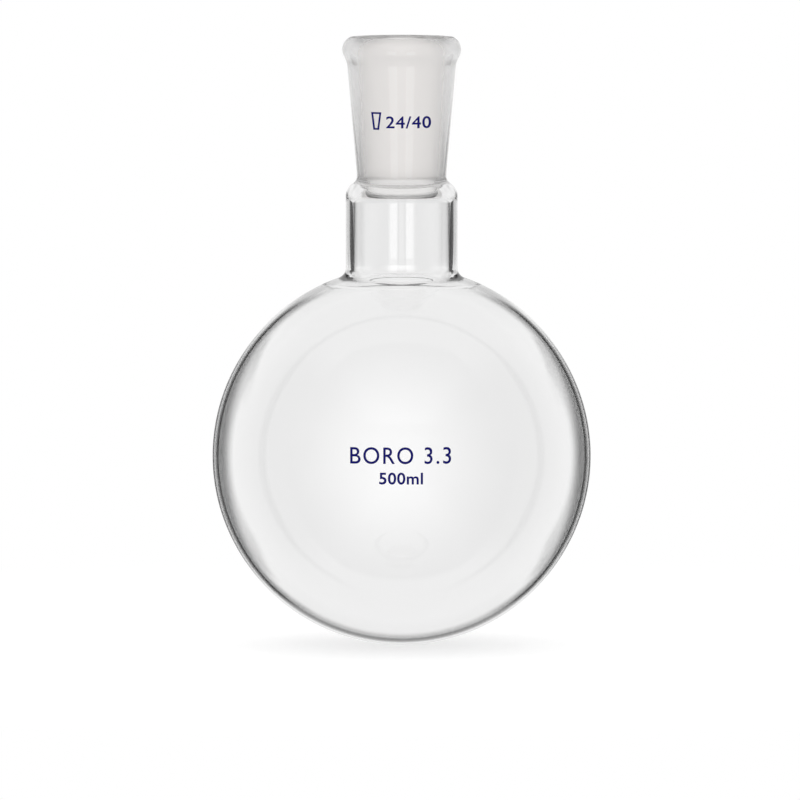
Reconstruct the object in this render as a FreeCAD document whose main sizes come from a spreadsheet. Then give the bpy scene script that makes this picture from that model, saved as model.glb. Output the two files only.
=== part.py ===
"""Single-neck round bottom flask, 500 ml, heavy-walled borosilicate glass.

Four turned glass pieces are stacked on the Z axis and fused face to face: the blown bulb, the neck
tube with its drawn-in shoulder, the 24/40 taper joint and the bead that reinforces its mouth. Four
fired enamel prints lie on the outside, facing -Y. Millimetres, +Z up, origin at the lowest point.
"""

import FreeCAD, Part
import Sketcher
import math
import os

from FreeCAD import Vector

# Driving dimensions in millimetres, and tapers as millimetres of radius per millimetre of height.
SIZES = {
    # blown bulb
    "bulb_radius": 52.5,
    "bulb_wall": 1.6,
    "bulb_seam": 100.5,
    # neck tube: its roots on the bulb, and the shoulder that closes it onto the joint
    "outer_root_fillet": 3.0,
    "inner_root_fillet": 4.0,
    "neck_radius": 15.5,
    "neck_wall": 2.3,
    "shoulder_start": 124.8,
    "shoulder_radius": 4.1,
    "inner_shoulder_start": 123.2,
    "inner_shoulder_radius": 4.2,
    "land_radius": 10.25,
    "joint_seam": 128.3,
    # 24/40 taper joint: 24 mm across at the mouth, 1 in 10 on diameter, 40 mm ground
    "mouth_height": 168.8,
    "bore_mouth_radius": 12.0,
    "bore_taper": 0.05,
    "joint_outer_taper": 0.088,
    "joint_root_radius": 2.4,
    # bead round the mouth
    "bead_seam": 161.4,
    "bead_centre_radius": 12.7,
    "bead_centre_height": 165.4,
    "bead_round": 3.8,
    "mouth_fillet": 0.8,
    # fired enamel prints: thickness, stroke widths, letter heights and baselines
    "enamel": 0.08,
    "light_stroke": 0.5,
    "bold_stroke": 0.52,
    "grade_letters": 4.13,
    "grade_baseline": 54.4,
    "volume_letters": 2.8,
    "volume_baseline": 48.8,
    "joint_letters": 2.85,
    "joint_baseline": 144.45,
}

PRINT_REACH = 12.0  # how far a letter's prism runs into the flask, in mm
CONE_MARGIN = 4.0  # spare height of the enamel cone above and below the joint's letters, in mm

# ---------------------------------------------------------------- letter shapes
# Strokes are drawn on a cap height of 1 with the origin at the baseline's left end:
# ("line", x1, y1, x2, y2) or ("arc", centre x, centre y, radius, start angle, end angle).
# Each entry is (advance width, strokes).
GLYPHS = {
    "0": (0.66, [("arc", 0.28, 0.72, 0.28, 0, 180), ("arc", 0.28, 0.28, 0.28, 180, 360),
                 ("line", 0, 0.28, 0, 0.72), ("line", 0.56, 0.28, 0.56, 0.72)]),
    "2": (0.66, [("arc", 0.27, 0.73, 0.27, -35, 180), ("line", 0.491, 0.575, 0, 0), ("line", 0, 0, 0.56, 0)]),
    "3": (0.66, [("arc", 0.27, 0.76, 0.24, -90, 150), ("arc", 0.27, 0.26, 0.26, -150, 90)]),
    "4": (0.70, [("line", 0.44, 0, 0.44, 1), ("line", 0.44, 1, 0, 0.3), ("line", 0, 0.3, 0.6, 0.3)]),
    "5": (0.66, [("line", 0.52, 1, 0.1, 1), ("line", 0.1, 1, 0.055, 0.52),
                 ("arc", 0.27, 0.31, 0.30, -140, 136)]),
    "/": (0.44, [("line", 0, 0, 0.34, 1)]),
    ".": (0.26, [("line", 0.05, 0.02, 0.05, 0.03)]),
    "B": (0.84, [("line", 0, 0, 0, 1), ("line", 0, 1, 0.36, 1), ("line", 0, 0.53, 0.38, 0.53),
                 ("line", 0, 0, 0.38, 0), ("arc", 0.36, 0.765, 0.235, -90, 90),
                 ("arc", 0.38, 0.265, 0.265, -90, 90)]),
    "O": (1.02, [("arc", 0.4, 0.6, 0.4, 0, 180), ("arc", 0.4, 0.4, 0.4, 180, 360),
                 ("line", 0, 0.4, 0, 0.6), ("line", 0.8, 0.4, 0.8, 0.6)]),
    "R": (0.88, [("line", 0, 0, 0, 1), ("line", 0, 1, 0.4, 1), ("line", 0, 0.48, 0.4, 0.48),
                 ("arc", 0.4, 0.74, 0.26, -90, 90), ("line", 0.38, 0.48, 0.68, 0)]),
    "m": (0.96, [("line", 0, 0, 0, 0.7), ("arc", 0.2, 0.5, 0.2, 0, 180), ("line", 0.4, 0, 0.4, 0.5),
                 ("arc", 0.6, 0.5, 0.2, 0, 180), ("line", 0.8, 0, 0.8, 0.5)]),
    "l": (0.16, [("line", 0, 0, 0, 1)]),
    " ": (0.30, []),
    # a standing cone, for "taper joint"
    "taper": (0.8, [("line", 0, 1.38, 0.8, 1.38), ("line", 0, 1.38, 0.2, -0.16),
                    ("line", 0.8, 1.38, 0.6, -0.16), ("line", 0.2, -0.16, 0.6, -0.16)]),
}


def make_sheet(doc):
    """The spreadsheet that drives every size."""
    sheet = doc.addObject("Spreadsheet::Sheet", "dim")
    for row, (alias, value) in enumerate(SIZES.items(), 1):
        sheet.set(f"A{row}", alias)
        sheet.set(f"B{row}", str(value))
        sheet.setAlias(f"B{row}", alias)
    doc.recompute()
    return sheet


# ---------------------------------------------------------------- shared formulas, on the sheet
BORE_AT = "(dim.bore_mouth_radius - dim.bore_taper * (dim.mouth_height - {z}))"
NECK_BORE = "(dim.neck_radius - dim.neck_wall)"
CAVITY = "(dim.bulb_radius - dim.bulb_wall)"
# the flat ring where the neck tube is sealed onto the bulb
SEAM_OUTER_X = "sqrt(dim.bulb_radius ^ 2 - (dim.bulb_seam - dim.bulb_radius) ^ 2)"
SEAM_INNER_X = f"sqrt({CAVITY} ^ 2 - (dim.bulb_seam - dim.bulb_radius) ^ 2)"
# the outside of the shoulder where it reaches the seam with the joint
SHOULDER_RISE = "(dim.joint_seam - dim.shoulder_start)"
SHOULDER_RUN = f"sqrt(dim.shoulder_radius ^ 2 - {SHOULDER_RISE} ^ 2)"
SHOULDER_X = f"(dim.neck_radius - dim.shoulder_radius + {SHOULDER_RUN})"
# the hollow root arc above it carries on in the same direction and runs into the joint's outer cone
ROOT_SCALE = "(dim.joint_root_radius / dim.shoulder_radius)"
CONE_NORM = "sqrt(1 + dim.joint_outer_taper ^ 2)"
ROOT_X = f"({SHOULDER_X} + {ROOT_SCALE} * {SHOULDER_RUN} - dim.joint_root_radius / {CONE_NORM})"
ROOT_Z = (f"(dim.joint_seam + {ROOT_SCALE} * {SHOULDER_RISE}"
          f" + dim.joint_root_radius * dim.joint_outer_taper / {CONE_NORM})")
CONE_AT = f"({ROOT_X} + dim.joint_outer_taper * ({{z}} - {ROOT_Z}))"


def at(formula, height):
    """A formula of height, filled in with the expression for that height."""
    return formula.format(z=height)


def revolved(doc, sheet, name, corners, edges):
    """A body turned round Z from a closed half profile.

    corners are (x formula, z formula), each dimensioned from the axis and the base plane. Edge i
    runs from corner i to the next: None for a straight one, or (radius formula, side) for an arc
    whose centre lies to the left (+1) or right (-1) of the way from corner to corner.
    """
    body = doc.addObject("PartDesign::Body", name)
    body.Label = name
    plane = next(f for f in body.Origin.OriginFeatures if f.Role == "XZ_Plane")
    sketch = body.newObject("Sketcher::SketchObject", f"{name}_profile")
    sketch.AttachmentSupport = [(plane, "")]
    sketch.MapMode = "FlatFace"
    doc.recompute()

    points = [Vector(*(float(sheet.evalExpression(f)) for f in corner), 0) for corner in corners]
    count = len(points)
    ends = []  # for each edge, the sketch's point numbers of its start and its end
    for i, edge in enumerate(edges):
        start, end = points[i], points[(i + 1) % count]
        if edge is None:
            sketch.addGeometry(Part.LineSegment(start, end), False)
            ends.append((1, 2))
            continue
        radius, side = float(sheet.evalExpression(edge[0])), edge[1]
        chord = end - start
        left = Vector(-chord.y, chord.x, 0).normalize()
        offset = math.sqrt(max(radius ** 2 - chord.Length ** 2 / 4, 0))
        centre = (start + end) / 2 + left * offset * side
        first, last = (start, end) if side > 0 else (end, start)
        angles = [math.atan2(p.y - centre.y, p.x - centre.x) for p in (first, last)]
        if angles[1] < angles[0]:
            angles[1] += 2 * math.pi
        circle = Part.Circle(centre, Vector(0, 0, 1), radius)
        sketch.addGeometry(Part.ArcOfCircle(circle, *angles), False)
        ends.append((1, 2) if side > 0 else (2, 1))

    for i in range(count):
        after = (i + 1) % count
        sketch.addConstraint(Sketcher.Constraint("Coincident", i, ends[i][1], after, ends[after][0]))
    for i, corner in enumerate(corners):
        for kind, axis, formula, value in (
            ("DistanceX", -2, corner[0], points[i].x),
            ("DistanceY", -1, corner[1], points[i].y),
        ):
            if value < 1e-9:
                sketch.addConstraint(Sketcher.Constraint("PointOnObject", i, ends[i][0], axis))
                continue
            index = sketch.addConstraint(Sketcher.Constraint(kind, -1, 1, i, ends[i][0], value))
            sketch.setExpression(f"Constraints[{index}]", formula)
    for i, edge in enumerate(edges):
        if edge is not None:
            radius = float(sheet.evalExpression(edge[0]))
            index = sketch.addConstraint(Sketcher.Constraint("Radius", i, radius))
            sketch.setExpression(f"Constraints[{index}]", edge[0])
    doc.recompute()
    if sketch.solve() != 0:
        raise RuntimeError(f"the profile of {name} doesn't solve")

    turned = body.newObject("PartDesign::Revolution", f"{name}_turned")
    turned.Profile = sketch
    turned.ReferenceAxis = (sketch, ["V_Axis"])
    turned.Angle = 360
    sketch.Visibility = False
    doc.recompute()
    return body


def ring_edge(feature, radius, height):
    """The name of the circular edge round Z that has this radius and height."""
    for number, edge in enumerate(feature.Shape.Edges, 1):
        box = edge.BoundBox
        misses = (box.ZMin - height, box.ZMax - height, box.XMax - radius)
        if all(abs(miss) < 1e-3 for miss in misses):
            return f"Edge{number}"
    raise RuntimeError(f"{feature.Name} has no ring of radius {radius} at height {height}")


def round_ring(doc, body, name, size, radius, height):
    """Rounds one circular edge of a turned body, with a radius from the sheet."""
    base = body.Tip
    fillet = body.newObject("PartDesign::Fillet", name)
    fillet.Base = (base, [ring_edge(base, radius, height)])
    fillet.setExpression("Radius", f"dim.{size}")
    doc.recompute()


def make_bulb(doc, sheet):
    """Blown sphere of even wall, open at the top in a flat ring where the neck tube is sealed on."""
    corners = [
        ("0", "0"),
        (SEAM_OUTER_X, "dim.bulb_seam"),
        (SEAM_INNER_X, "dim.bulb_seam"),
        ("0", "dim.bulb_wall"),
    ]
    edges = [("dim.bulb_radius", 1), None, (CAVITY, -1), None]
    return revolved(doc, sheet, "bulb", corners, edges)


def make_neck(doc, sheet):
    """Straight tube, flared onto the bulb at its foot and drawn in to a round shoulder at its top."""
    outer_root = "dim.bulb_radius + sqrt(dim.bulb_radius ^ 2 - dim.neck_radius ^ 2)"
    inner_root = f"dim.bulb_radius + sqrt({CAVITY} ^ 2 - {NECK_BORE} ^ 2)"
    land_run = f"(dim.land_radius - {NECK_BORE} + dim.inner_shoulder_radius)"
    land_z = f"dim.inner_shoulder_start + sqrt(dim.inner_shoulder_radius ^ 2 - {land_run} ^ 2)"
    corners = [
        (SEAM_INNER_X, "dim.bulb_seam"),
        (SEAM_OUTER_X, "dim.bulb_seam"),
        ("dim.neck_radius", outer_root),
        ("dim.neck_radius", "dim.shoulder_start"),
        (SHOULDER_X, "dim.joint_seam"),
        ("dim.land_radius", "dim.joint_seam"),
        ("dim.land_radius", land_z),
        (NECK_BORE, "dim.inner_shoulder_start"),
        (NECK_BORE, inner_root),
    ]
    edges = [None, ("dim.bulb_radius", 1), None, ("dim.shoulder_radius", 1), None, None,
             ("dim.inner_shoulder_radius", -1), None, (CAVITY, -1)]
    body = revolved(doc, sheet, "neck_tube", corners, edges)
    outer, inner = (float(sheet.evalExpression(f)) for f in (outer_root, inner_root))
    bore = float(sheet.evalExpression(NECK_BORE))
    round_ring(doc, body, "outer_root", "outer_root_fillet", sheet.neck_radius, outer)
    round_ring(doc, body, "inner_root", "inner_root_fillet", bore, inner)
    return body


def make_joint(doc, sheet):
    """Taper joint: ground cone inside, a steeper cone outside and a hollow root on the shoulder."""
    corners = [
        (at(BORE_AT, "dim.joint_seam"), "dim.joint_seam"),
        (SHOULDER_X, "dim.joint_seam"),
        (ROOT_X, ROOT_Z),
        (at(CONE_AT, "dim.bead_seam"), "dim.bead_seam"),
        (at(BORE_AT, "dim.bead_seam"), "dim.bead_seam"),
    ]
    edges = [None, ("dim.joint_root_radius", -1), None, None, None]
    return revolved(doc, sheet, "taper_joint", corners, edges)


def make_bead(doc, sheet):
    """Thick rolled ring round the mouth, with a sloping underside and a flat, eased top."""
    top_run = "sqrt(dim.bead_round ^ 2 - (dim.mouth_height - dim.bead_centre_height) ^ 2)"
    corners = [
        (at(BORE_AT, "dim.bead_seam"), "dim.bead_seam"),
        (at(CONE_AT, "dim.bead_seam"), "dim.bead_seam"),
        ("dim.bead_centre_radius + dim.bead_round * sqrt(3) / 2",
         "dim.bead_centre_height - dim.bead_round / 2"),
        (f"dim.bead_centre_radius + {top_run}", "dim.mouth_height"),
        ("dim.bore_mouth_radius", "dim.mouth_height"),
    ]
    edges = [None, None, ("dim.bead_round", 1), None, None]
    body = revolved(doc, sheet, "mouth_bead", corners, edges)
    round_ring(doc, body, "mouth_edge", "mouth_fillet", sheet.bore_mouth_radius, sheet.mouth_height)
    return body


# ---------------------------------------------------------------- enamel prints
def stroke_prism(stroke, scale, left, baseline, width, near):
    """One pen stroke with round ends, as a prism along +Y that starts at y = near."""
    along = Vector(0, PRINT_REACH, 0)
    half = width / 2

    def place(x, z):
        return Vector(left + x * scale, near, baseline + z * scale)

    def pen(point):
        return Part.makeCylinder(half, PRINT_REACH, point, Vector(0, 1, 0))

    if stroke[0] == "line":
        start, end = place(*stroke[1:3]), place(*stroke[3:5])
        run = end - start
        side = Vector(-run.z, 0, run.x).normalize() * half
        outline = Part.makePolygon([start + side, end + side, end - side, start - side, start + side])
        strip = Part.Face(outline).extrude(along)
        return [strip, pen(start), pen(end)]

    _, x, z, radius, first, last = stroke
    centre, radius = place(x, z), radius * scale
    rings = (radius + half, radius - half)
    tips = [Vector(math.cos(math.radians(a)), 0, math.sin(math.radians(a))) for a in (first, last)]
    middle = math.radians((first + last) / 2)
    crest = Vector(math.cos(middle), 0, math.sin(middle))
    arcs = [
        Part.Arc(*(centre + way * ring_radius for way in (tips[0], crest, tips[1]))).toShape()
        for ring_radius in rings
    ]
    caps = [Part.makeLine(*(centre + tip * ring_radius for ring_radius in rings)) for tip in tips]
    outline = Part.Wire(Part.__sortEdges__([*arcs, *caps]))
    band = Part.Face(outline).extrude(along)
    return [band, *(pen(centre + tip * radius) for tip in tips)]


def print_width(text, height, spacing):
    """Width of a line of letters, from the first stroke to the last letter's advance."""
    return sum(GLYPHS[c][0] for c in text) * height + spacing * (len(text) - 1)


def make_print(doc, name, text, height, stroke_width, baseline, left, spacing, layer, near):
    """One fired print: each letter is a thin solid of enamel lying on the glass."""
    letters = []
    for letter in text:
        advance, strokes = GLYPHS[letter]
        prisms = [
            prism
            for stroke in strokes
            for prism in stroke_prism(stroke, height, left, baseline, stroke_width, near)
        ]
        if prisms:
            letters += prisms[0].multiFuse(prisms[1:]).removeSplitter().common(layer).Solids
        left += advance * height + spacing
    feature = doc.addObject("Part::Feature", name)
    feature.Label = name
    feature.Shape = Part.makeCompound(letters)
    return feature


def make_prints(doc, sheet):
    """The four prints on the front: glass grade and volume on the bulb, size and symbol above."""
    radius = sheet.bulb_radius
    centre = Vector(0, 0, radius)
    on_bulb = Part.makeSphere(radius + sheet.enamel, centre).cut(Part.makeSphere(radius, centre))
    bulb_near = -radius - 1

    grade, grade_spacing = "BORO 3.3", 0.63
    volume, volume_spacing = "500ml", 0.85
    grade_width = print_width(grade, sheet.grade_letters, grade_spacing)
    volume_width = print_width(volume, sheet.volume_letters, volume_spacing)
    prints = [
        make_print(doc, "glass_grade_print", grade, sheet.grade_letters, sheet.light_stroke,
                   sheet.grade_baseline, -grade_width / 2, grade_spacing, on_bulb, bulb_near),
        make_print(doc, "volume_print", volume, sheet.volume_letters, sheet.bold_stroke,
                   sheet.volume_baseline, -volume_width / 2, volume_spacing, on_bulb, bulb_near),
    ]

    low = sheet.joint_baseline - CONE_MARGIN
    tall = sheet.joint_letters + 2 * CONE_MARGIN
    r_low, r_high = (
        float(sheet.evalExpression(at(CONE_AT, str(z)))) for z in (low, low + tall)
    )
    skin = sheet.enamel * math.sqrt(1 + sheet.joint_outer_taper ** 2)
    foot = Vector(0, 0, low)
    outer, inner = (Part.makeCone(r_low + t, r_high + t, tall, foot) for t in (skin, 0))
    on_joint = outer.cut(inner)
    joint_near = -r_high - 1
    size, size_spacing, symbol_gap = "24/40", 0.8, 1.8
    size_width = print_width(size, sheet.joint_letters, size_spacing)
    symbol_width = print_width(["taper"], sheet.joint_letters, 0)
    left = -(symbol_width + symbol_gap + size_width) / 2
    prints += [
        make_print(doc, "taper_symbol_print", ["taper"], sheet.joint_letters, sheet.bold_stroke,
                   sheet.joint_baseline, left, 0, on_joint, joint_near),
        make_print(doc, "joint_size_print", size, sheet.joint_letters, sheet.bold_stroke,
                   sheet.joint_baseline, left + symbol_width + symbol_gap, size_spacing,
                   on_joint, joint_near),
    ]
    return prints


def main():
    doc = FreeCAD.newDocument("round_bottom_flask")
    sheet = make_sheet(doc)
    parts = [
        make_bulb(doc, sheet),
        make_neck(doc, sheet),
        make_joint(doc, sheet),
        make_bead(doc, sheet),
        *make_prints(doc, sheet),
    ]
    doc.recompute()
    for item in doc.Objects:
        if "Invalid" in item.State or "Error" in item.State:
            raise RuntimeError(f"{item.Label} failed: {item.State}")
    for part in parts:
        if part.Shape.isNull() or not part.Shape.isValid() or not part.Shape.Solids:
            raise RuntimeError(f"{part.Label} has no valid solid")
    os.makedirs("parts", exist_ok=True)
    for part in parts:
        part.Shape.exportStep(f"parts/{part.Label}.step")
        box = part.Shape.BoundBox
        print(f"{part.Label}: {len(part.Shape.Solids)} solids, {part.Shape.Volume:.2f} mm3,"
              f" z {box.ZMin:.2f} to {box.ZMax:.2f}, x {box.XMin:.2f} to {box.XMax:.2f}")


main()
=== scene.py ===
"""Studio scene of a 500 ml round bottom flask in clear borosilicate glass.

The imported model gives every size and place. The four glass pieces are turned again as dense, smooth
meshes, and the four enamel prints are laid on their surface. Metres, +Z up, prints facing -Y.
"""

import bmesh
import bpy
import math
from mathutils import Matrix, Vector


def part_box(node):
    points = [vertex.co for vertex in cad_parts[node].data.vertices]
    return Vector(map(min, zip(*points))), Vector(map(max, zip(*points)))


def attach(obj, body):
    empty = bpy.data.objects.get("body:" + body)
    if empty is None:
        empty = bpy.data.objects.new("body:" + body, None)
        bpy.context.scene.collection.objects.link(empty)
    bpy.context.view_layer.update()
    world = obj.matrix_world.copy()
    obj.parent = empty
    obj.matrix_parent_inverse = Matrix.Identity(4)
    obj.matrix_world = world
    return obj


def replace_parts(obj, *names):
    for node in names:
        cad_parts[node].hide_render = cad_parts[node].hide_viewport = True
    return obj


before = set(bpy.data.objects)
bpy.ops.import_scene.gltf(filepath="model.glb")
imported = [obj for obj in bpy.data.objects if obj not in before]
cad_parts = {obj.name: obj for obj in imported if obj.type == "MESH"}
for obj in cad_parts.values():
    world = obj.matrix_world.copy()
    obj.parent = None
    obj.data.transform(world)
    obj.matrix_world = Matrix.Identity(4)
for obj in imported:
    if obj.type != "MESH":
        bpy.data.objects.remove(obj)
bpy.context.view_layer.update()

MM = 0.001
SPIN_STEPS = 288  # steps in a full turn, a multiple of four
SHARP_ANGLE = math.radians(28)
MERGE = 1e-7  # points closer than this, in metres, are one

# ------------------------------------------------------------------ sizes, from the frame
bulb_low, bulb_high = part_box("bulb")
BULB_RADIUS = round((bulb_high.x - bulb_low.x) / 2, 4)
BULB_SEAM = bulb_high.z
JOINT_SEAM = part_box("neck_tube")[1].z
BEAD_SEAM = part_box("taper_joint")[1].z
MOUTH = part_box("mouth_bead")[1].z

# walls and curves that a box doesn't give, the same as the design's
BULB_WALL = 1.6 * MM
NECK_RADIUS = 15.5 * MM
NECK_BORE = NECK_RADIUS - 2.3 * MM
OUTER_ROOT = 3.0 * MM
INNER_ROOT = 4.0 * MM
SHOULDER_START = 124.8 * MM
SHOULDER_ROUND = 4.1 * MM
INNER_SHOULDER_START = 123.2 * MM
INNER_SHOULDER_ROUND = 4.2 * MM
LAND_RADIUS = 10.25 * MM
LAND_STEPS = 16  # steps round the inner shoulder
GROUND_STEPS = 4  # how many of them are ground
BORE_AT_MOUTH = 12.0 * MM
BORE_TAPER = 0.05
CONE_TAPER = 0.088
CONE_ROOT = 2.4 * MM
BEAD_CENTRE = (12.7 * MM, 165.4 * MM)
BEAD_ROUND = 3.8 * MM
MOUTH_EDGE = 0.8 * MM
ENAMEL = 0.06 * MM  # thickness of the fired film

# enamel prints
PRINT_CELL = 0.6 * MM  # a print is cut this finely before it is bent onto the glass
PRINT_MERGE = 0.03 * MM  # points of a letter closer than this are one
MITRE_LIMIT = 1.6  # keeps the points of sharp corners short when strokes are made wider
SYMBOL_STROKE = 0.5 * MM
SYMBOL_FOOT_INSET = 0.22  # how far the cone's foot is set in at each side, as a share of its width


def bore_at(height):
    """Radius of the joint's ground bore: 24 mm across at the mouth, 1 in 10 on diameter."""
    return BORE_AT_MOUTH - BORE_TAPER * (MOUTH - height)


# ------------------------------------------------------------------ profiles
def arc(centre, radius, start, end, steps):
    """Points (radius, height) along an arc. Angles in degrees, 0 outwards and 90 up."""
    angles = (math.radians(start + (end - start) * i / steps) for i in range(steps + 1))
    return [(centre[0] + radius * math.cos(a), centre[1] + radius * math.sin(a)) for a in angles]


def line(start, end, steps):
    """Evenly spaced points from start to end."""
    return [tuple(s + (e - s) * i / steps for s, e in zip(start, end)) for i in range(steps + 1)]


def heading(centre, point):
    """Angle in degrees from centre to point, 0 outwards and 90 up."""
    return math.degrees(math.atan2(point[1] - centre[1], point[0] - centre[0]))


def sphere_angle(radius, height):
    """Angle, seen from the bulb's centre, at which a sphere of this radius reaches this height."""
    return math.degrees(math.asin((height - BULB_RADIUS) / radius))


def root_fillet(sphere, tube, fillet):
    """Centre of the fillet between a sphere and a tube, and its angle seen from the bulb's centre."""
    reach = tube + fillet
    rise = math.sqrt((sphere + fillet) ** 2 - reach ** 2)
    centre = (reach, BULB_RADIUS + rise)
    return centre, heading((0, BULB_RADIUS), centre)


def bulb_profile():
    cavity = BULB_RADIUS - BULB_WALL
    centre = (0, BULB_RADIUS)
    outer = arc(centre, BULB_RADIUS, -90, sphere_angle(BULB_RADIUS, BULB_SEAM), 132)
    inner = arc(centre, cavity, sphere_angle(cavity, BULB_SEAM), -90, 132)
    return [(outer, "clear"), (line(outer[-1], inner[0], 2), "seam"), (inner, "clear")]


SHOULDER_CENTRE = (NECK_RADIUS - SHOULDER_ROUND, SHOULDER_START)
SHOULDER_END = math.degrees(math.asin((JOINT_SEAM - SHOULDER_START) / SHOULDER_ROUND))


def neck_profile():
    cavity = BULB_RADIUS - BULB_WALL
    centre = (0, BULB_RADIUS)
    outer_fillet, outer_angle = root_fillet(BULB_RADIUS, NECK_RADIUS, OUTER_ROOT)
    inner_fillet, inner_angle = root_fillet(cavity, NECK_BORE, INNER_ROOT)
    foot_out = arc(centre, BULB_RADIUS, sphere_angle(BULB_RADIUS, BULB_SEAM), outer_angle, 8)
    root_out = arc(outer_fillet, OUTER_ROOT, outer_angle + 180, 180, 14)
    shoulder_out = arc(SHOULDER_CENTRE, SHOULDER_ROUND, 0, SHOULDER_END, 16)
    tube_out = line(root_out[-1], shoulder_out[0], 20)
    outer = foot_out + root_out[1:] + tube_out[1:] + shoulder_out[1:]

    land = (NECK_BORE - INNER_SHOULDER_ROUND, INNER_SHOULDER_START)
    land_end = math.degrees(math.acos((LAND_RADIUS - land[0]) / INNER_SHOULDER_ROUND))
    land_arc = arc(land, INNER_SHOULDER_ROUND, land_end, 0, LAND_STEPS)
    root_in = arc(inner_fillet, INNER_ROOT, 180, inner_angle + 180, 16)
    foot_in = arc(centre, cavity, inner_angle, sphere_angle(cavity, BULB_SEAM), 6)
    ground = line((LAND_RADIUS, JOINT_SEAM), land_arc[0], 2) + land_arc[1:GROUND_STEPS + 1]
    inner = land_arc[GROUND_STEPS:] + line(land_arc[-1], root_in[0], 20)[1:]
    inner += root_in[1:] + foot_in[1:]
    return [
        (outer, "clear"),
        (line(outer[-1], ground[0], 3), "seam"),
        (ground, "ground"),
        (inner, "clear"),
        (line(inner[-1], outer[0], 2), "seam"),
    ]


def cone_foot():
    """The hollow arc where the joint's outer cone leaves the shoulder: its centre and its ends."""
    centre = arc(SHOULDER_CENTRE, SHOULDER_ROUND + CONE_ROOT, SHOULDER_END, SHOULDER_END, 1)[0]
    return centre, SHOULDER_END + 180, 180 - math.degrees(math.atan(CONE_TAPER))


def cone_at(height):
    """Radius of the joint's outer cone."""
    centre, _, end = cone_foot()
    foot = arc(centre, CONE_ROOT, end, end, 1)[0]
    return foot[0] + CONE_TAPER * (height - foot[1])


def joint_profile():
    centre, start, end = cone_foot()
    foot = arc(centre, CONE_ROOT, start, end, 12)
    outer = foot + line(foot[-1], (cone_at(BEAD_SEAM), BEAD_SEAM), 40)[1:]
    inner = line((bore_at(BEAD_SEAM), BEAD_SEAM), (bore_at(JOINT_SEAM), JOINT_SEAM), 44)
    return [
        (outer, "clear"),
        (line(outer[-1], inner[0], 3), "seam"),
        (inner, "ground"),
        (line(inner[-1], outer[0], 3), "seam"),
    ]


def bead_profile():
    top = math.degrees(math.asin((MOUTH - BEAD_CENTRE[1]) / BEAD_ROUND))
    ring = arc(BEAD_CENTRE, BEAD_ROUND, -30, top, 28)
    outer = line((cone_at(BEAD_SEAM), BEAD_SEAM), ring[0], 4) + ring[1:]
    bore = bore_at(MOUTH)
    edge = arc((bore + MOUTH_EDGE, MOUTH - MOUTH_EDGE), MOUTH_EDGE, 90, 180, 8)
    inner = line(ring[-1], edge[0], 4) + edge[1:]
    inner += line(edge[-1], (bore_at(BEAD_SEAM), BEAD_SEAM), 10)[1:]
    return [
        (outer, "clear"),
        (inner, "ground"),
        (line(inner[-1], outer[0], 3), "seam"),
    ]


# ------------------------------------------------------------------ turning
def turned(name, profile, finishes):
    """A closed piece turned round Z from sections of a profile, each with its own finish.

    A quarter is spun, then mirrored twice.
    """
    shape = bmesh.new()
    names = list(dict.fromkeys(finish for _, finish in profile))
    for points, finish in profile:
        corners = [shape.verts.new((x, 0, z)) for x, z in points]
        edges = [shape.edges.new(pair) for pair in zip(corners, corners[1:])]
        before = set(shape.faces)
        bmesh.ops.spin(
            shape, geom=corners + edges, cent=(0, 0, 0), axis=(0, 0, 1), dvec=(0, 0, 0),
            angle=math.tau / 4, steps=SPIN_STEPS // 4,
        )
        for face in set(shape.faces) - before:
            face.material_index = names.index(finish)
    for axis in ("X", "Y"):
        everything = shape.verts[:] + shape.edges[:] + shape.faces[:]
        bmesh.ops.mirror(shape, geom=everything, matrix=Matrix(), merge_dist=MERGE, axis=axis)
    bmesh.ops.remove_doubles(shape, verts=shape.verts, dist=MERGE)
    bmesh.ops.dissolve_degenerate(shape, edges=shape.edges, dist=MERGE)
    bmesh.ops.recalc_face_normals(shape, faces=shape.faces)
    for face in shape.faces:
        face.smooth = True
    for edge in shape.edges:
        edge.smooth = len(edge.link_faces) == 2 and edge.calc_face_angle() < SHARP_ANGLE
    piece = finished(name, shape)
    for finish in names:
        piece.data.materials.append(finishes[finish])
    return piece


def finished(name, shape):
    """Puts a bmesh into the scene as a piece of the flask."""
    mesh = bpy.data.meshes.new(name)
    shape.to_mesh(mesh)
    shape.free()
    piece = bpy.data.objects.new(name, mesh)
    bpy.context.scene.collection.objects.link(piece)
    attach(piece, "root")
    return piece


# ------------------------------------------------------------------ materials
GLASS_IOR = 1.474  # borosilicate 3.3


def srgb(code):
    """Linear colour from an sRGB hex code."""
    channels = (int(code[i:i + 2], 16) / 255 for i in (1, 3, 5))
    linear = (c / 12.92 if c <= 0.04045 else ((c + 0.055) / 1.055) ** 2.4 for c in channels)
    return (*linear, 1.0)


def add_node(tree, kind, settings=None, inputs=None):
    """Adds a node with its settings and inputs: each a value, a socket, or a node's first output."""
    node = tree.nodes.new(kind)
    for name, value in (settings or {}).items():
        setattr(node, name, value)
    for socket, value in (inputs or {}).items():
        source = value.outputs[0] if isinstance(value, bpy.types.Node) else value
        if isinstance(source, bpy.types.NodeSocket):
            tree.links.new(source, node.inputs[socket])
        else:
            node.inputs[socket].default_value = source
    return node


def new_material(name):
    """An empty node material: the material, its tree, its output node and its object coordinates."""
    material = bpy.data.materials.new(name)
    material.use_nodes = True
    tree = material.node_tree
    tree.nodes.clear()
    output = add_node(tree, "ShaderNodeOutputMaterial")
    return material, tree, output, add_node(tree, "ShaderNodeTexCoord").outputs["Object"]


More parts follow.
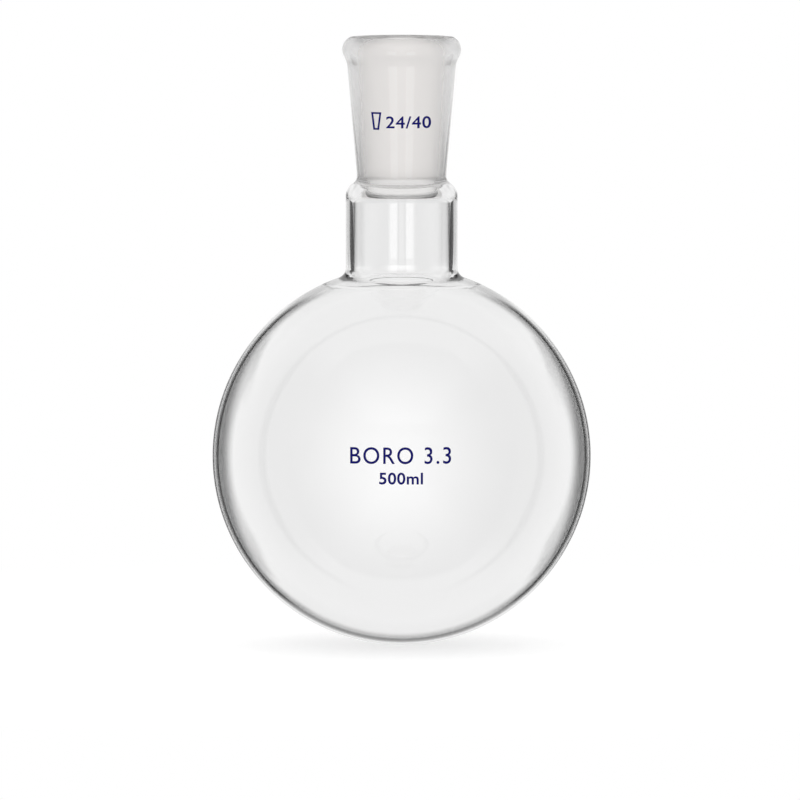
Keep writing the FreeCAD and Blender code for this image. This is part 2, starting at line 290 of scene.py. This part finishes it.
def clear_borosilicate():
    """Blown borosilicate 3.3, fire-polished: mirror smooth, with the faint waviness of flame work."""
    material, tree, output, place = new_material("clear_borosilicate")
    stretched = add_node(tree, "ShaderNodeMapping", inputs={"Vector": place, "Scale": (1, 1, 0.45)})
    draw_lines = add_node(
        tree, "ShaderNodeTexNoise",
        inputs={"Vector": stretched, "Scale": 1 / (14 * MM), "Detail": 1.5, "Roughness": 0.4},
    )
    wave = add_node(
        tree, "ShaderNodeBump", inputs={"Height": draw_lines, "Strength": 0.25, "Distance": 0.02 * MM},
    )
    glass = add_node(
        tree, "ShaderNodeBsdfPrincipled",
        inputs={
            "Base Color": srgb("#FDFDFD"),
            "Roughness": 0.0,
            "IOR": GLASS_IOR,
            "Transmission Weight": 1.0,
            "Normal": wave,
        },
    )
    tree.links.new(glass.outputs["BSDF"], output.inputs["Surface"])
    return material


def ground_borosilicate():
    """The joint's bore and mouth, ground with fine carborundum: it scatters light and looks milky."""
    material, tree, output, place = new_material("ground_borosilicate")
    grit = add_node(
        tree, "ShaderNodeTexNoise", inputs={"Vector": place, "Scale": 1 / (0.35 * MM), "Detail": 2.0},
    )
    pits = add_node(
        tree, "ShaderNodeBump", inputs={"Height": grit, "Strength": 0.3, "Distance": 0.02 * MM},
    )
    glass = add_node(
        tree, "ShaderNodeBsdfPrincipled",
        inputs={
            "Base Color": srgb("#FDFAF8"),
            "Roughness": 0.42,
            "IOR": GLASS_IOR,
            "Transmission Weight": 1.0,
            "Normal": pits,
        },
    )
    tree.links.new(glass.outputs["BSDF"], output.inputs["Surface"])
    return material


def fused_seam():
    """Where two pieces of glass are melted into one there is no surface to see."""
    material, tree, output, _ = new_material("fused_seam")
    nothing = add_node(tree, "ShaderNodeBsdfTransparent")
    tree.links.new(nothing.outputs["BSDF"], output.inputs["Surface"])
    return material


def blue_enamel():
    """Ceramic enamel, screen printed and fired: an opaque navy blue with a satin gloss."""
    material, tree, output, place = new_material("blue_enamel")
    mottle = add_node(
        tree, "ShaderNodeTexNoise", inputs={"Vector": place, "Scale": 1 / (0.6 * MM), "Detail": 3.0},
    )
    colour = add_node(
        tree, "ShaderNodeMix", {"data_type": "RGBA"},
        {"Factor": mottle, "A": srgb("#020464"), "B": srgb("#040872")},
    )
    film = add_node(
        tree, "ShaderNodeBsdfPrincipled",
        inputs={
            "Base Color": colour.outputs["Result"],
            "Roughness": 0.5,
            "IOR": 1.45,
            "Specular IOR Level": 0.2,
        },
    )
    tree.links.new(film.outputs["BSDF"], output.inputs["Surface"])
    return material


# ------------------------------------------------------------------ enamel prints
def lettering(text, low, high, spacing, weight):
    """A flat mesh of a line of letters in the XZ plane that fills the box of its CAD node.

    Its strokes are made wider by weight on each side.
    """
    curve = bpy.data.curves.new("lettering", "FONT")
    curve.body = text
    curve.space_character = spacing
    curve.resolution_u = 6
    sign = bpy.data.objects.new("lettering", curve)
    bpy.context.scene.collection.objects.link(sign)
    bpy.context.view_layer.update()
    flat = bpy.data.meshes.new_from_object(sign)
    bpy.data.objects.remove(sign)
    shape = bmesh.new()
    shape.from_mesh(flat)
    bpy.data.meshes.remove(flat)
    left, right = (pick(v.co.x for v in shape.verts) for pick in (min, max))
    foot, top = (pick(v.co.y for v in shape.verts) for pick in (min, max))
    wide, tall = (high.x - low.x - 2 * weight, high.z - low.z - 2 * weight)
    for vert in shape.verts:
        vert.co = Vector((
            low.x + weight + wide * (vert.co.x - left) / (right - left),
            0,
            low.z + weight + tall * (vert.co.y - foot) / (top - foot),
        ))
    bmesh.ops.remove_doubles(shape, verts=shape.verts, dist=PRINT_MERGE)
    bmesh.ops.dissolve_degenerate(shape, edges=shape.edges, dist=PRINT_MERGE)
    embolden(shape, weight)
    return shape


def embolden(shape, weight):
    """Moves the outlines of a flat print in the XZ plane outwards by weight."""
    ways = {}
    for edge in shape.edges:
        if len(edge.link_faces) == 1:
            start, end = edge.verts
            along = (end.co - start.co).normalized()
            out = Vector((along.z, 0, -along.x))
            if out.dot(edge.link_faces[0].calc_center_median() - start.co) > 0:
                out.negate()
            for vert in edge.verts:
                ways.setdefault(vert, []).append(out)
    for vert, outs in ways.items():
        way = sum(outs, Vector())
        vert.co += way * (weight * len(outs) / max(way.length_squared, MITRE_LIMIT))


def cone_symbol(low, high):
    """The outline of a standing cone, for a taper joint, that fills the box of its CAD node."""
    shape = bmesh.new()
    foot_inset = (high.x - low.x) * SYMBOL_FOOT_INSET
    corners = [
        (low.x + foot_inset, low.z), (high.x - foot_inset, low.z), (high.x, high.z), (low.x, high.z),
    ]
    face = shape.faces.new([shape.verts.new((x, 0, z)) for x, z in corners])
    face.normal_update()
    bmesh.ops.inset_region(
        shape, faces=[face], thickness=SYMBOL_STROKE, use_boundary=True, use_even_offset=True
    )
    bmesh.ops.delete(shape, geom=[face], context="FACES_ONLY")
    return shape


def lay_on(name, shape, surface, finish):
    """Cuts a flat print finely, lays it on a curved surface and gives it the enamel's thickness.

    The surface gives the point in front of (x, z) and the way out of the glass there.
    """
    for axis, normal in ((0, (1, 0, 0)), (2, (0, 0, 1))):
        low = min(v.co[axis] for v in shape.verts)
        high = max(v.co[axis] for v in shape.verts)
        for i in range(1, int((high - low) / PRINT_CELL)):
            place = Vector(normal) * (low + i * PRINT_CELL)
            everything = shape.verts[:] + shape.edges[:] + shape.faces[:]
            bmesh.ops.bisect_plane(shape, geom=everything, dist=MERGE, plane_co=place, plane_no=normal)
    bmesh.ops.remove_doubles(shape, verts=shape.verts, dist=MERGE)
    bmesh.ops.dissolve_degenerate(shape, edges=shape.edges, dist=MERGE)
    front = bmesh.ops.extrude_face_region(shape, geom=shape.faces[:])["geom"]
    front = {part for part in front if isinstance(part, bmesh.types.BMVert)}
    for vert in shape.verts:
        place, way_out = surface(vert.co.x, vert.co.z)
        vert.co = place + way_out * (ENAMEL if vert in front else 0)
    bmesh.ops.recalc_face_normals(shape, faces=shape.faces)
    piece = finished(name, shape)
    piece.data.materials.append(finish)
    return piece


def on_bulb(x, z):
    """The point of the bulb's outside in front of (x, z), and the way out of the glass there."""
    place = Vector((x, -math.sqrt(BULB_RADIUS ** 2 - x ** 2 - (z - BULB_RADIUS) ** 2), z))
    return place, (place - Vector((0, 0, BULB_RADIUS))).normalized()


def on_cone(x, z):
    """The point of the joint's outside in front of (x, z), and the way out of the glass there."""
    place = Vector((x, -math.sqrt(cone_at(z) ** 2 - x ** 2), z))
    return place, Vector((place.x, place.y, 0)).normalized()


# ------------------------------------------------------------------ the flask
def build_flask():
    finishes = {
        "clear": clear_borosilicate(),
        "ground": ground_borosilicate(),
        "seam": fused_seam(),
    }
    for name, profile, slot in (
        ("bulb", bulb_profile(), "clear_glass"),
        ("neck_tube", neck_profile(), "clear_glass"),
        ("taper_joint", joint_profile(), "ground_glass"),
        ("mouth_bead", bead_profile(), "ground_glass"),
    ):
        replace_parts(turned(f"{name}_glass", profile, finishes), name)

    enamel = blue_enamel()
    for name, node, surface, text, spacing, weight in (
        ("glass_grade_enamel", "glass_grade_print", on_bulb, "BORO 3.3", 1.14, 0.04 * MM),
        ("volume_enamel", "volume_print", on_bulb, "500ml", 1.06, 0.1 * MM),
        ("joint_size_enamel", "joint_size_print", on_cone, "24/40", 1.08, 0.07 * MM),
    ):
        shape = lettering(text, *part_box(node), spacing, weight)
        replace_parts(lay_on(name, shape, surface, enamel), node)
    symbol = cone_symbol(*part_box("taper_symbol_print"))
    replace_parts(lay_on("taper_symbol_enamel", symbol, on_cone, enamel), "taper_symbol_print")


build_flask()

# ------------------------------------------------------------------ camera
CAMERA_DISTANCE = 4.0
VIEW_WIDTH = 222.1 * MM  # width of the picture at the flask's axis
CAMERA_ELEVATION = math.radians(4.15)
AIM = Vector((-0.45 * MM, 0, 68.0 * MM))
SENSOR = 36.0

camera_data = bpy.data.cameras.new("camera")
camera_data.sensor_width = SENSOR
camera_data.lens = SENSOR * CAMERA_DISTANCE / VIEW_WIDTH
camera_data.clip_end = 50
camera = bpy.data.objects.new("camera", camera_data)
bpy.context.scene.collection.objects.link(camera)
back = Vector((0, -math.cos(CAMERA_ELEVATION), math.sin(CAMERA_ELEVATION)))
camera.location = AIM + back * CAMERA_DISTANCE
camera.rotation_euler = (math.pi / 2 - CAMERA_ELEVATION, 0, 0)
bpy.context.scene.camera = camera

# ------------------------------------------------------------------ light: a tent round the flask
TENT_RADIUS = 1.3
TENT_PEAK = 2.0
# brightness by angle from the line of sight, in degrees, where 0 is straight behind the flask:
# level with the flask, and above and below it
BESIDE = ((0, 0.88), (3, 0.88), (4.5, 0.9), (6, 0.94), (9, 0.96), (30, 0.95), (60, 0.84),
          (80, 0.7), (100, 0.6), (130, 0.5), (180, 0.45))
ABOVE = ((0, 0.88), (3, 0.88), (5, 0.89), (7, 0.9), (12, 0.82), (30, 0.84), (44, 0.9), (100, 0.88),
         (180, 0.8))
BESIDE_FROM = (0.5, 0.85)  # the tent goes over from above to beside at these shares of sideways
NEARLY_ONE = 1.0001  # a little over 1, so that nothing is divided by zero straight ahead
GLOW = 0.2
GLOW_SIZE = 31 * MM
GLOW_CENTRE = (-5.2 * MM, -6.4 * MM, 0)
# each edge below is a pair: where the light or the dark is off, and where it is fully on
STRIP = 1.2
STRIP_INSIDE = (math.radians(9), math.radians(11))
STRIP_OUTSIDE = (math.radians(30), math.radians(26))
STRIP_FOOT = (-0.45, -0.4)
STRIP_TOP = (0.06, 0.02)

# the black card behind the bulb, with its edges in millimetres from its centre
CARD_DISTANCE = 55 * MM
CARD_REACH = 180 * MM
DARKEST = 0.97
RING_INSIDE = (71.5, 75.5)
RING_OUTSIDE = (108, 98)
RING_SIDES = (32, 54)  # the ring is open above, for the neck and the joint
RING_FOOT = (-30, -55)
RING_FOOT_DARK = 0.75
CRESCENT_SHAPE = (1, 0.62, 0)  # an upright oval
CRESCENT_INSIDE = (51.5, 61.5)
CRESCENT_OUTSIDE = (69.8, 67.5)
WING_INSIDE = (74, 86)
WING_OUTSIDE = (150, 120)
WING_TOP = (80, 72)
WING_FOOT = (-90, -70)
SCRIM_SIDES = (6, 40)
SCRIM_FOOT = (50, 56)
SCRIM_TOP = (82, 74)
SCRIM_DARK = 0.3

# the grey screen in front, which keeps the strip lights off the bulb
SCREEN_DISTANCE = 125 * MM
SCREEN_TOP = 35 * MM
SCREEN_HALF = 0.35
SCREEN_GREY = 0.45


def times(tree, *sources):
    """The product of some sources."""
    product = sources[0]
    for source in sources[1:]:
        product = add_node(tree, "ShaderNodeMath", {"operation": "MULTIPLY"}, {0: product, 1: source})
    return product


def region(tree, *edges):
    """A soft-edged region: the product of steps, each a source, where it is off and where it is on."""
    steps = []
    for source, (off, on) in edges:
        steps.append(add_node(
            tree, "ShaderNodeMapRange", {"interpolation_type": "SMOOTHSTEP"},
            {"Value": source, "From Min": off, "From Max": on},
        ))
    return times(tree, *steps)


def tent_material():
    """The tent's walls, a bright middle behind the flask and two strip lights beside the camera."""
    material, tree, output, place = new_material("tent_light")
    way = add_node(tree, "ShaderNodeVectorMath", {"operation": "NORMALIZE"}, {0: place})
    x, y, z = add_node(tree, "ShaderNodeSeparateXYZ", inputs={0: way}).outputs
    ahead = times(tree, z, -1)
    turn = add_node(tree, "ShaderNodeMath", {"operation": "ARCCOSINE"}, {0: ahead})
    angle = add_node(tree, "ShaderNodeMath", {"operation": "DIVIDE"}, {0: turn, 1: math.pi})
    squared = times(tree, z, z)
    remainder = add_node(tree, "ShaderNodeMath", {"operation": "SUBTRACT"}, {0: NEARLY_ONE, 1: squared})
    across = add_node(tree, "ShaderNodeMath", {"operation": "SQRT"}, {0: remainder})
    wide = add_node(tree, "ShaderNodeMath", {"operation": "ABSOLUTE"}, {0: x})
    sideways = add_node(tree, "ShaderNodeMath", {"operation": "DIVIDE"}, {0: wide, 1: across})
    walls = add_node(
        tree, "ShaderNodeMix", {"data_type": "RGBA"}, {"Factor": region(tree, (sideways, BESIDE_FROM))},
    )
    for side, stops in (("A", ABOVE), ("B", BESIDE)):
        ramp = add_node(tree, "ShaderNodeValToRGB", inputs={"Fac": angle})
        elements = ramp.color_ramp.elements
        elements.remove(elements[1])
        for i, (degrees, level) in enumerate(stops):
            element = elements.new(degrees / 180) if i else elements[0]
            element.position = degrees / 180
            element.color = (level / TENT_PEAK, level / TENT_PEAK, level / TENT_PEAK, 1)
        tree.links.new(ramp.outputs["Color"], walls.inputs[side])

    bearing = add_node(tree, "ShaderNodeMath", {"operation": "ARCTAN2"}, {0: x, 1: z})
    aside = add_node(tree, "ShaderNodeMath", {"operation": "ABSOLUTE"}, {0: bearing})
    strips = region(tree, (aside, STRIP_INSIDE), (aside, STRIP_OUTSIDE), (y, STRIP_FOOT), (y, STRIP_TOP))

    flat = add_node(tree, "ShaderNodeVectorMath", {"operation": "MULTIPLY"}, {0: place, 1: (1, 1, 0)})
    off = add_node(
        tree, "ShaderNodeVectorMath", {"operation": "DISTANCE"}, {0: flat, 1: GLOW_CENTRE},
    ).outputs["Value"]
    fall = times(tree, off, off, -0.5 / GLOW_SIZE ** 2)
    fading = add_node(tree, "ShaderNodeMath", {"operation": "EXPONENT"}, {0: fall})
    behind = add_node(tree, "ShaderNodeMath", {"operation": "GREATER_THAN"}, {0: ahead, 1: 0.0})
    glow = times(tree, fading, behind)

    total = times(tree, walls.outputs["Result"], TENT_PEAK)
    for part, strength in ((strips, STRIP), (glow, GLOW)):
        total = add_node(
            tree, "ShaderNodeMath", {"operation": "MULTIPLY_ADD"}, {0: part, 1: strength, 2: total},
        )
    light = add_node(tree, "ShaderNodeEmission", inputs={"Strength": total})
    tree.links.new(light.outputs["Emission"], output.inputs["Surface"])
    return material


def card_material():
    """A matt black card with feathered edges, weaker above and below than at the sides."""
    material, tree, output, place = new_material("black_card")
    here = add_node(
        tree, "ShaderNodeVectorMath", {"operation": "SCALE"}, {0: place, "Scale": 1 / MM},
    )
    x, y, _ = add_node(tree, "ShaderNodeSeparateXYZ", inputs={0: here}).outputs
    wide = add_node(tree, "ShaderNodeMath", {"operation": "ABSOLUTE"}, {0: x})
    radius = add_node(tree, "ShaderNodeVectorMath", {"operation": "LENGTH"}, {0: here}).outputs["Value"]
    squeezed = add_node(
        tree, "ShaderNodeVectorMath", {"operation": "MULTIPLY"}, {0: here, 1: CRESCENT_SHAPE},
    )
    oval = add_node(tree, "ShaderNodeVectorMath", {"operation": "LENGTH"}, {0: squeezed}).outputs["Value"]

    foot = times(tree, region(tree, (y, RING_FOOT)), RING_FOOT_DARK)
    sides = region(tree, (wide, RING_SIDES))
    closed = add_node(tree, "ShaderNodeMath", {"operation": "MAXIMUM"}, {0: sides, 1: foot})
    ring = times(tree, region(tree, (radius, RING_INSIDE), (radius, RING_OUTSIDE)), closed)
    crescent = region(tree, (oval, CRESCENT_INSIDE), (radius, CRESCENT_OUTSIDE))
    wings = region(tree, (y, WING_TOP), (y, WING_FOOT), (wide, WING_INSIDE), (wide, WING_OUTSIDE))
    scrim = times(tree, region(tree, (y, SCRIM_FOOT), (y, SCRIM_TOP), (wide, SCRIM_SIDES)), SCRIM_DARK)

    dark = ring
    for part in (crescent, wings, scrim):
        dark = add_node(tree, "ShaderNodeMath", {"operation": "MAXIMUM"}, {0: dark, 1: part})
    card = add_node(tree, "ShaderNodeBsdfDiffuse", inputs={"Color": (0.02, 0.02, 0.02, 1)})
    air = add_node(tree, "ShaderNodeBsdfTransparent")
    both = add_node(tree, "ShaderNodeMixShader", inputs={0: times(tree, dark, DARKEST), 1: air, 2: card})
    tree.links.new(both.outputs["Shader"], output.inputs["Surface"])
    return material


def staged(name, shape, material, rig=None):
    """A stage object from a bmesh, carried by the rig if there is one."""
    mesh = bpy.data.meshes.new(name)
    shape.to_mesh(mesh)
    shape.free()
    thing = bpy.data.objects.new(name, mesh)
    bpy.context.scene.collection.objects.link(thing)
    thing.data.materials.append(material)
    thing.parent = rig
    return thing


def build_tent():
    """The tent, the black card and the grey screen stay round the bulb and turn with the camera."""
    rig = bpy.data.objects.new("light_rig", None)
    bpy.context.scene.collection.objects.link(rig)
    rig.location = (0, 0, BULB_RADIUS)
    turn = rig.constraints.new("COPY_ROTATION")
    turn.target = camera

    shape = bmesh.new()
    bmesh.ops.create_icosphere(shape, subdivisions=4, radius=TENT_RADIUS)
    bmesh.ops.reverse_faces(shape, faces=shape.faces)
    tent = staged("light_tent", shape, tent_material(), rig)
    tent.visible_camera = False

    shape = bmesh.new()
    bmesh.ops.create_circle(shape, cap_ends=True, segments=96, radius=CARD_REACH)
    card = staged("black_card", shape, card_material(), rig)
    card.location = (0, 0, -CARD_DISTANCE)

    shape = bmesh.new()
    bmesh.ops.create_grid(shape, x_segments=1, y_segments=1, size=SCREEN_HALF)
    bmesh.ops.translate(shape, verts=shape.verts, vec=(0, SCREEN_TOP - SCREEN_HALF, SCREEN_DISTANCE))
    material, tree, output, _ = new_material("grey_screen")
    grey = add_node(tree, "ShaderNodeEmission", inputs={"Strength": SCREEN_GREY})
    tree.links.new(grey.outputs["Emission"], output.inputs["Surface"])
    screen = staged("grey_screen", shape, material, rig)
    for thing in (card, screen):
        thing.visible_camera = False
        thing.visible_diffuse = False
        thing.visible_shadow = False


FLOOR_RADIUS = 1.1
FLOOR_FADE = (0.02, 0.28)  # distance from the flask over which the floor turns into plain white
FLOOR_PAINT = (0.6, 0.6, 0.6, 1)
FLOOR_LIFT = 0.66


def build_floor():
    """A plain pale floor that runs out into the white background."""
    shape = bmesh.new()
    bmesh.ops.create_circle(shape, cap_ends=True, segments=96, radius=FLOOR_RADIUS)
    material, tree, output, place = new_material("pale_floor")
    radius = add_node(tree, "ShaderNodeVectorMath", {"operation": "LENGTH"}, {0: place}).outputs["Value"]
    paint = add_node(tree, "ShaderNodeBsdfDiffuse", inputs={"Color": FLOOR_PAINT})
    lift = add_node(tree, "ShaderNodeEmission", inputs={"Strength": FLOOR_LIFT})
    painted = add_node(tree, "ShaderNodeAddShader", inputs={0: paint, 1: lift})
    white = add_node(tree, "ShaderNodeEmission", inputs={"Strength": 1.0})
    mixed = add_node(
        tree, "ShaderNodeMixShader",
        inputs={0: region(tree, (radius, FLOOR_FADE)), 1: painted, 2: white},
    )
    tree.links.new(mixed.outputs["Shader"], output.inputs["Surface"])
    floor = staged("floor", shape, material)
    floor.visible_transmission = False
    floor.visible_glossy = False


build_tent()
build_floor()

world = bpy.data.worlds.new("white_background")
world.use_nodes = True
world.node_tree.nodes["Background"].inputs["Color"].default_value = (1, 1, 1, 1)
world.node_tree.nodes["Background"].inputs["Strength"].default_value = 1.0
scene = bpy.context.scene
scene.world = world
scene.view_settings.view_transform = "Standard"
scene.cycles.max_bounces = 32
scene.cycles.transmission_bounces = 32
scene.cycles.glossy_bounces = 12
scene.cycles.transparent_max_bounces = 32
